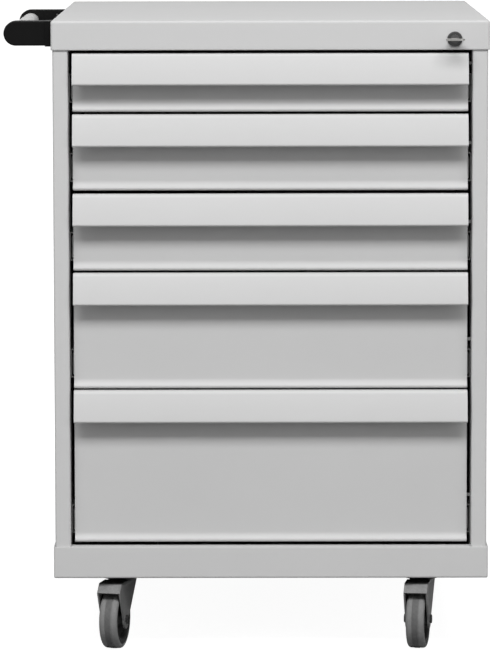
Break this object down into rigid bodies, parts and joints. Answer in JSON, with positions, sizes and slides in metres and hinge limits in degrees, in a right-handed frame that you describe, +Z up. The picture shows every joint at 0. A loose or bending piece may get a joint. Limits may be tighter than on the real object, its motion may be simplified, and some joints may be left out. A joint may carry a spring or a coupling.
{
  "type": "rolling tool cabinet",
  "caption": "Steel drawer cabinet on swivel castors, with full-width grip lips, a central lock and a side push handle.",
  "frame": {"origin": "on the floor, under the middle of the whole object's box", "axes": "+Z up, the drawers open towards -Y, +X to the right seen from the front"},
  "size_m": [0.61, 0.6956, 0.801],
  "materials": {
    "light_grey_paint": "light grey powder coat, fine texture, satin",
    "zinc_steel": "bright zinc plate",
    "lock_metal": "satin nickel",
    "key_metal": "nickel plate",
    "black_plastic": "fine-grained black",
    "tube_metal": "light grey coat",
    "dark_steel": "dark coat, slightly glossy",
    "hub_plastic": "dark moulded",
    "grey_rubber": "grey solid rubber"
  },
  "bodies": {
    "housing": {"top_cap": "light_grey_paint", "right_side": "light_grey_paint", "left_side": "light_grey_paint", "back_panel": "light_grey_paint", "base_pan": "light_grey_paint", "castor_channels": "zinc_steel", "right_uprights": "zinc_steel", "left_uprights": "zinc_steel", "right_cabinet_rails": "zinc_steel", "left_cabinet_rails": "zinc_steel", "lock_body": "lock_metal", "lock_nut": "lock_metal", "handle_brackets": "black_plastic", "handle_tube": "tube_metal", "handle_screws": "dark_steel", "castor_plates": "zinc_steel", "castor_bolts": "zinc_steel"},
    "drawer_1_slides": {"drawer_1_middle_rails": "zinc_steel"},
    "drawer_1": {"drawer_1_tray": "light_grey_paint", "drawer_1_front": "light_grey_paint", "drawer_1_inner_rails": "zinc_steel"},
    "drawer_2_slides": {"drawer_2_middle_rails": "zinc_steel"},
    "drawer_2": {"drawer_2_tray": "light_grey_paint", "drawer_2_front": "light_grey_paint", "drawer_2_inner_rails": "zinc_steel"},
    "drawer_3_slides": {"drawer_3_middle_rails": "zinc_steel"},
    "drawer_3": {"drawer_3_tray": "light_grey_paint", "drawer_3_front": "light_grey_paint", "drawer_3_inner_rails": "zinc_steel"},
    "drawer_4_slides": {"drawer_4_middle_rails": "zinc_steel"},
    "drawer_4": {"drawer_4_tray": "light_grey_paint", "drawer_4_front": "light_grey_paint", "drawer_4_inner_rails": "zinc_steel"},
    "drawer_5_slides": {"drawer_5_middle_rails": "zinc_steel"},
    "drawer_5": {"drawer_5_tray": "light_grey_paint", "drawer_5_front": "light_grey_paint", "drawer_5_inner_rails": "zinc_steel"},
    "lock_core": {"lock_plug": "lock_metal", "lock_key": "key_metal"},
    "lock_bar": {"lock_bar": "zinc_steel"},
    "front_left_swivel": {"front_left_fork": "dark_steel", "front_left_axle": "dark_steel"},
    "front_left_wheel": {"front_left_hub": "hub_plastic", "front_left_tyre": "grey_rubber"},
    "front_right_swivel": {"front_right_fork": "dark_steel", "front_right_axle": "dark_steel"},
    "front_right_wheel": {"front_right_hub": "hub_plastic", "front_right_tyre": "grey_rubber"},
    "rear_left_swivel": {"rear_left_fork": "dark_steel", "rear_left_axle": "dark_steel"},
    "rear_left_wheel": {"rear_left_hub": "hub_plastic", "rear_left_tyre": "grey_rubber"},
    "rear_left_brake_lever": {"rear_left_brake": "dark_steel"},
    "rear_right_swivel": {"rear_right_fork": "dark_steel", "rear_right_axle": "dark_steel"},
    "rear_right_wheel": {"rear_right_hub": "hub_plastic", "rear_right_tyre": "grey_rubber"},
    "rear_right_brake_lever": {"rear_right_brake": "dark_steel"}
  },
  "joints": [
    {"name": "drawer_1_slide", "type": "slide", "parent": "housing", "child": "drawer_1", "axis": [0, -1, 0], "range_m": [0, 0.56]},
    {"name": "drawer_1_rails_slide", "type": "slide", "parent": "housing", "child": "drawer_1_slides", "axis": [0, -1, 0], "range_m": [0, 0.28]},
    {"name": "drawer_2_slide", "type": "slide", "parent": "housing", "child": "drawer_2", "axis": [0, -1, 0], "range_m": [0, 0.56]},
    {"name": "drawer_2_rails_slide", "type": "slide", "parent": "housing", "child": "drawer_2_slides", "axis": [0, -1, 0], "range_m": [0, 0.28]},
    {"name": "drawer_3_slide", "type": "slide", "parent": "housing", "child": "drawer_3", "axis": [0, -1, 0], "range_m": [0, 0.56]},
    {"name": "drawer_3_rails_slide", "type": "slide", "parent": "housing", "child": "drawer_3_slides", "axis": [0, -1, 0], "range_m": [0, 0.28]},
    {"name": "drawer_4_slide", "type": "slide", "parent": "housing", "child": "drawer_4", "axis": [0, -1, 0], "range_m": [0, 0.56]},
    {"name": "drawer_4_rails_slide", "type": "slide", "parent": "housing", "child": "drawer_4_slides", "axis": [0, -1, 0], "range_m": [0, 0.28]},
    {"name": "drawer_5_slide", "type": "slide", "parent": "housing", "child": "drawer_5", "axis": [0, -1, 0], "range_m": [0, 0.56]},
    {"name": "drawer_5_rails_slide", "type": "slide", "parent": "housing", "child": "drawer_5_slides", "axis": [0, -1, 0], "range_m": [0, 0.28]},
    {"name": "lock_bar_slide", "type": "slide", "parent": "housing", "child": "lock_bar", "axis": [0, 0, -1], "range_m": [0, 0.008]},
    {"name": "lock_turn", "type": "hinge", "parent": "housing", "child": "lock_core", "pos_m": [0.261, -0.3172, 0.7775], "axis": [0, 1, 0], "range_deg": [0, 90]},
    {"name": "front_left_swivel_turn", "type": "hinge", "parent": "housing", "child": "front_left_swivel", "pos_m": [-0.1625, -0.2572, 0.085], "axis": [0, 0, 1], "continuous": true},
    {"name": "front_left_wheel_roll", "type": "hinge", "parent": "front_left_swivel", "child": "front_left_wheel", "pos_m": [-0.16925, -0.28643, 0.0375], "axis": [0.9744, -0.225, 0], "continuous": true},
    {"name": "front_right_swivel_turn", "type": "hinge", "parent": "housing", "child": "front_right_swivel", "pos_m": [0.2225, -0.2572, 0.085], "axis": [0, 0, 1], "continuous": true},
    {"name": "front_right_wheel_roll", "type": "hinge", "parent": "front_right_swivel", "child": "front_right_wheel", "pos_m": [0.21781, -0.28683, 0.0375], "axis": [0.9877, -0.1564, 0], "continuous": true},
    {"name": "rear_left_swivel_turn", "type": "hinge", "parent": "housing", "child": "rear_left_swivel", "pos_m": [-0.1625, 0.2878, 0.085], "axis": [0, 0, 1], "continuous": true},
    {"name": "rear_left_wheel_roll", "type": "hinge", "parent": "rear_left_swivel", "child": "rear_left_wheel", "pos_m": [-0.16616, 0.25802, 0.0375], "axis": [0.9925, -0.1219, 0], "continuous": true},
    {"name": "rear_left_brake_turn", "type": "hinge", "parent": "rear_left_swivel", "child": "rear_left_brake_lever", "pos_m": [-0.16987, 0.22781, 0.07131], "axis": [-0.9925, 0.1219, 0], "range_deg": [0, 18]},
    {"name": "rear_right_swivel_turn", "type": "hinge", "parent": "housing", "child": "rear_right_swivel", "pos_m": [0.2225, 0.2878, 0.085], "axis": [0, 0, 1], "continuous": true},
    {"name": "rear_right_wheel_roll", "type": "hinge", "parent": "rear_right_swivel", "child": "rear_right_wheel", "pos_m": [0.21729, 0.25826, 0.0375], "axis": [0.9848, -0.1736, 0], "continuous": true},
    {"name": "rear_right_brake_turn", "type": "hinge", "parent": "rear_right_swivel", "child": "rear_right_brake_lever", "pos_m": [0.212, 0.22827, 0.07131], "axis": [-0.9848, 0.1736, 0], "range_deg": [0, 18]}
  ],
  "couplings": [
    {"joint": "drawer_1_rails_slide", "follows": "drawer_1_slide", "ratio": 0.5},
    {"joint": "drawer_2_rails_slide", "follows": "drawer_2_slide", "ratio": 0.5},
    {"joint": "drawer_3_rails_slide", "follows": "drawer_3_slide", "ratio": 0.5},
    {"joint": "drawer_4_rails_slide", "follows": "drawer_4_slide", "ratio": 0.5},
    {"joint": "drawer_5_rails_slide", "follows": "drawer_5_slide", "ratio": 0.5},
    {"joint": "lock_turn", "follows": "lock_bar_slide", "rad_per_m": 196.35}
  ]
}
